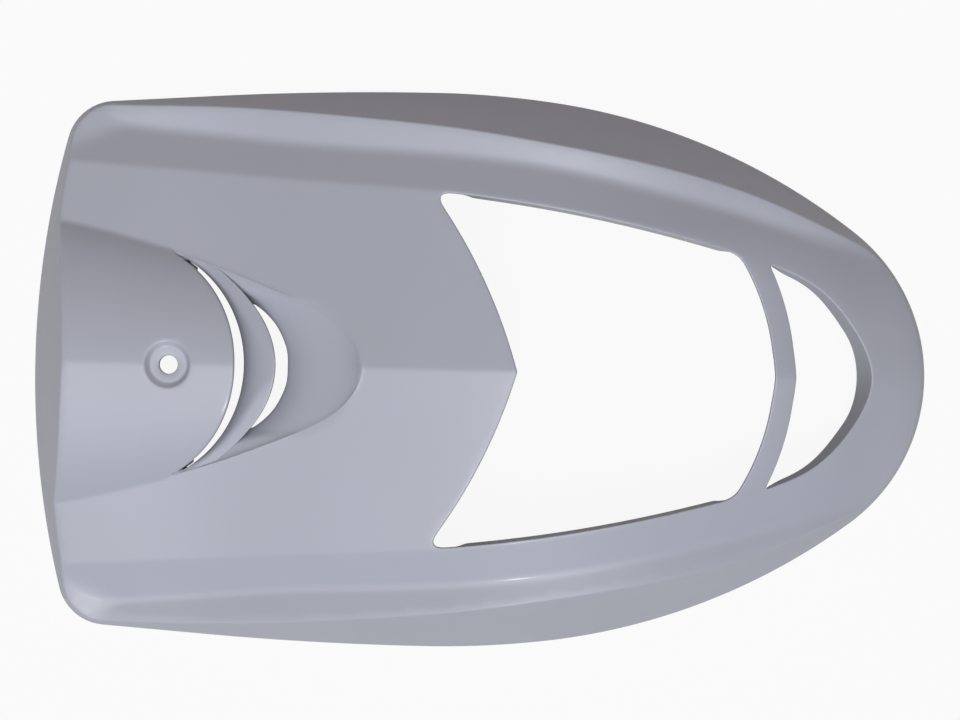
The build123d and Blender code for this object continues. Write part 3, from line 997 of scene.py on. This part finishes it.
mirror = shell.modifiers.new("other_half", "MIRROR")
mirror.use_axis = (False, True, False)
mirror.use_clip = True
mirror.merge_threshold = MERGE

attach(shell, "root")
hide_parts("headlight_panel")
print("mesh points:", len(mesh.vertices), "faces:", len(mesh.polygons))

# %% [markdown]
# ## Shader maths
# A material is a net of nodes. Built one call at a time it is hard to read, so a small class wraps a
# socket: plain arithmetic on two wires adds the Math node for it, and one method adds any other node.

# %% Shader maths
class Wire:
    """Output socket of a shader tree, used in plain arithmetic."""

    def __init__(self, tree, socket):
        self.tree, self.socket = tree, socket

    @staticmethod
    def node(tree, kind, settings=None, sockets=None, output=0):
        """Adds a node with its settings, then fills its sockets with values or wires."""
        made = tree.nodes.new(kind)
        for name, value in (settings or {}).items():
            setattr(made, name, value)
        for name, value in (sockets or {}).items():
            if isinstance(value, Wire):
                value.feeds(made.inputs[name])
            else:
                made.inputs[name].default_value = value
        return Wire(tree, made.outputs[output])

    def maths(self, operation, first, second):
        return Wire.node(self.tree, "ShaderNodeMath", {"operation": operation}, {0: first, 1: second})

    def __add__(self, other):
        return self.maths("ADD", self, other)

    def __radd__(self, other):
        return self.maths("ADD", other, self)

    def __sub__(self, other):
        return self.maths("SUBTRACT", self, other)

    def __rsub__(self, other):
        return self.maths("SUBTRACT", other, self)

    def __mul__(self, other):
        return self.maths("MULTIPLY", self, other)

    def __rmul__(self, other):
        return self.maths("MULTIPLY", other, self)

    def __pow__(self, other):
        return self.maths("POWER", self, other)

    def __rpow__(self, other):
        return self.maths("POWER", other, self)

    def at_least(self, other):
        return self.maths("MAXIMUM", self, other)

    def between(self, low, high):
        """Smooth step from 0 at low to 1 at high."""
        return Wire.node(self.tree, "ShaderNodeMapRange", {"interpolation_type": "SMOOTHSTEP"},
                         {"Value": self, "From Min": low, "From Max": high})

    def feeds(self, slot):
        self.tree.links.new(self.socket, slot)


print("methods of a wire:", [name for name in vars(Wire) if callable(getattr(Wire, name))])

# %% [markdown]
# ## Mixing and noise
# Two helpers for what a surface needs most: a colour that drifts between two colours, and an even
# noise about zero. The Mix node has one set of sockets for each data type, so its colour sockets are
# picked by number.

# %% Mixing and noise
MIX_FACTOR, MIX_FIRST, MIX_SECOND, MIX_RESULT = 0, 6, 7, 2


def mixed(factor, first_colour, second_colour):
    """Colour between two colours, each an RGB triple or a wire."""
    first, second = (colour if isinstance(colour, Wire) else (*colour, 1)
                     for colour in (first_colour, second_colour))
    return Wire.node(factor.tree, "ShaderNodeMix", {"data_type": "RGBA", "clamp_factor": True},
                     {MIX_FACTOR: factor, MIX_FIRST: first, MIX_SECOND: second}, MIX_RESULT)


def noise(place, scale, detail):
    return Wire.node(place.tree, "ShaderNodeTexNoise", None,
                     {"Vector": place, "Scale": scale, "Detail": detail}) - 0.5


print("colour sockets of a mix:", MIX_FIRST, MIX_SECOND)

# %% [markdown]
# ## Plastic
# The panel is a smooth gloss plastic in light bluish grey. A flat colour with one roughness would look
# like a drawing, so its tone drifts very little over the part and a fine flow texture from the mould
# breaks up the gloss. The pattern reads Object coordinates, so it stays on the piece.

# %% Plastic
TONE_DARK, TONE_LIGHT = (0.335, 0.352, 0.398), (0.352, 0.368, 0.42)
DRIFT_SCALE, FLOW_SCALE, GRAIN_SCALE = 14.0, 160.0, 900.0
ROUGHNESS, DRIFT_ROUGHNESS, GRAIN_ROUGHNESS = 0.16, 0.12, 0.05
PLASTIC_IOR = 1.4
BUMP_STRENGTH, BUMP_DISTANCE = 0.25, 0.00002

plastic = bpy.data.materials.new("panel_plastic")
plastic.use_nodes = True
tree = plastic.node_tree
bsdf = tree.nodes["Principled BSDF"]
place = Wire.node(tree, "ShaderNodeTexCoord", output="Object")
drift, grain = noise(place, DRIFT_SCALE, 3.0), noise(place, GRAIN_SCALE, 2.0)
mixed(drift * 1.5 + 0.5, TONE_DARK, TONE_LIGHT).feeds(bsdf.inputs["Base Color"])
(drift * DRIFT_ROUGHNESS + grain * GRAIN_ROUGHNESS + ROUGHNESS).feeds(bsdf.inputs["Roughness"])
bsdf.inputs["IOR"].default_value = PLASTIC_IOR
Wire.node(tree, "ShaderNodeBump", None,
          {"Strength": BUMP_STRENGTH, "Distance": BUMP_DISTANCE,
           "Height": grain + noise(place, FLOW_SCALE, 2.0) * 2.0}).feeds(bsdf.inputs["Normal"])
mesh.materials.append(plastic)
print("plastic nodes:", len(tree.nodes))

# %% [markdown]
# ## Floor
# The panel lies on white paper. A white floor under studio light is never quite white, and more light
# would bleach the part. So a share of the floor glows white for the camera, and the ground reads as
# paper through the openings too, while a soft shadow stays. Reflections see a part of that glow,
# because the walls of the panel mirror a darker ground in the photo.

# %% Floor
GLOW, MIRRORED = 0.92, 0.12
FLOOR_REACH = 3.0
PAPER = (0.42, 0.41, 0.4, 1)

floor_mesh = bpy.data.meshes.new("floor")
corners = [(FLOOR_REACH * sx, FLOOR_REACH * sy, 0) for sx, sy in ((-1, -1), (1, -1), (1, 1), (-1, 1))]
floor_mesh.from_pydata(corners, [], [(0, 1, 2, 3)])
floor = bpy.data.objects.new("floor", floor_mesh)
bpy.context.scene.collection.objects.link(floor)
paper = bpy.data.materials.new("floor")
paper.use_nodes = True
tree = paper.node_tree
surface = tree.nodes["Principled BSDF"]
surface.inputs["Base Color"].default_value = PAPER
surface.inputs["Roughness"].default_value = 0.9
glow = Wire.node(tree, "ShaderNodeEmission", None, {"Color": (1, 1, 1, 1), "Strength": 1.0})
camera_ray, glossy_ray, transmission_ray = (Wire.node(tree, "ShaderNodeLightPath", output=kind) for kind in
                                            ("Is Camera Ray", "Is Glossy Ray", "Is Transmission Ray"))
seen = camera_ray.at_least(transmission_ray).at_least(glossy_ray * MIRRORED)
Wire.node(tree, "ShaderNodeMixShader", None,
          {0: seen * GLOW, 1: Wire(tree, surface.outputs[0]), 2: glow}).feeds(
              tree.nodes["Material Output"].inputs["Surface"])
floor_mesh.materials.append(paper)
print("floor glow for the camera:", GLOW)

# %% [markdown]
# ## Room
# Soft studio light could come from large lamps, but their edges would show in the gloss. So the room
# itself is a soft gradient: brightest high up on the side of negative y, darker and warmer low on the
# other side. The camera sees a white backdrop instead.

# %% Room
BRIGHT = Vector((-0.05, -0.33, 0.945)).normalized()
LOBE_POWER = 7.0
LOW_NEAR, LOW_FAR = (0.09, 0.09, 0.09), (0.11, 0.055, 0.03)
LOBE_COLOUR, BACKDROP = (4.54, 4.58, 4.76), (0.95, 0.95, 0.95)

world = bpy.data.worlds.new("room")
bpy.context.scene.world = world
world.use_nodes = True
tree = world.node_tree


def facing(direction):
    """How far a ray of the room points along a direction."""
    ray = Wire.node(tree, "ShaderNodeTexCoord", output="Generated")
    return Wire.node(tree, "ShaderNodeVectorMath", {"operation": "DOT_PRODUCT"},
                     {0: ray, 1: direction}, "Value")


low_light = mixed(facing((0, 1, 0)).between(-0.5, 0.6), LOW_NEAR, LOW_FAR)
room = mixed(facing(BRIGHT).at_least(0.0) ** LOBE_POWER, low_light, LOBE_COLOUR)
camera_ray = Wire.node(tree, "ShaderNodeLightPath", output="Is Camera Ray")
mixed(camera_ray, room, BACKDROP).feeds(tree.nodes["Background"].inputs["Color"])
tree.nodes["Background"].inputs["Strength"].default_value = 1.0
print("brightest towards", [round(v, 2) for v in BRIGHT])

# %% [markdown]
# ## Window
# One small area light, like a distant window, adds the faint glints on the roundings. A stronger one
# would draw hard shadows, which the photo doesn't have, so most of the light is left to the room.

# %% Window
WINDOW_SIZE, WINDOW_POWER = 0.12, 1.5
WINDOW_AT, WINDOW_TURN = (-0.2, -0.75, 1.1), (34, -10, 0)

light = bpy.data.lights.new("window", "AREA")
light.size = WINDOW_SIZE
light.energy = WINDOW_POWER
window = bpy.data.objects.new("window", light)
window.location = WINDOW_AT
window.rotation_euler = [math.radians(angle) for angle in WINDOW_TURN]
bpy.context.scene.collection.objects.link(window)
print("window at", WINDOW_AT)

# %% [markdown]
# ## Camera
# The photo was taken from straight above. The camera hangs 0.85 m over the floor, and it is rolled by
# 1.2 degrees and shifted by 5 mm, because the photo is.

# %% Camera
LENS, SENSOR = 67.48, 36
CAMERA_AT, CAMERA_ROLL = (0, 0.00496, 0.85), 1.2

cam = bpy.data.cameras.new("camera")
cam.lens = LENS
cam.sensor_width = SENSOR
camera = bpy.data.objects.new("camera", cam)
camera.location = CAMERA_AT
camera.rotation_euler = (0, 0, math.radians(CAMERA_ROLL))
bpy.context.scene.collection.objects.link(camera)
bpy.context.scene.camera = camera
bpy.context.scene.view_settings.view_transform = "Standard"
print("camera at", CAMERA_AT)
# %% [markdown]
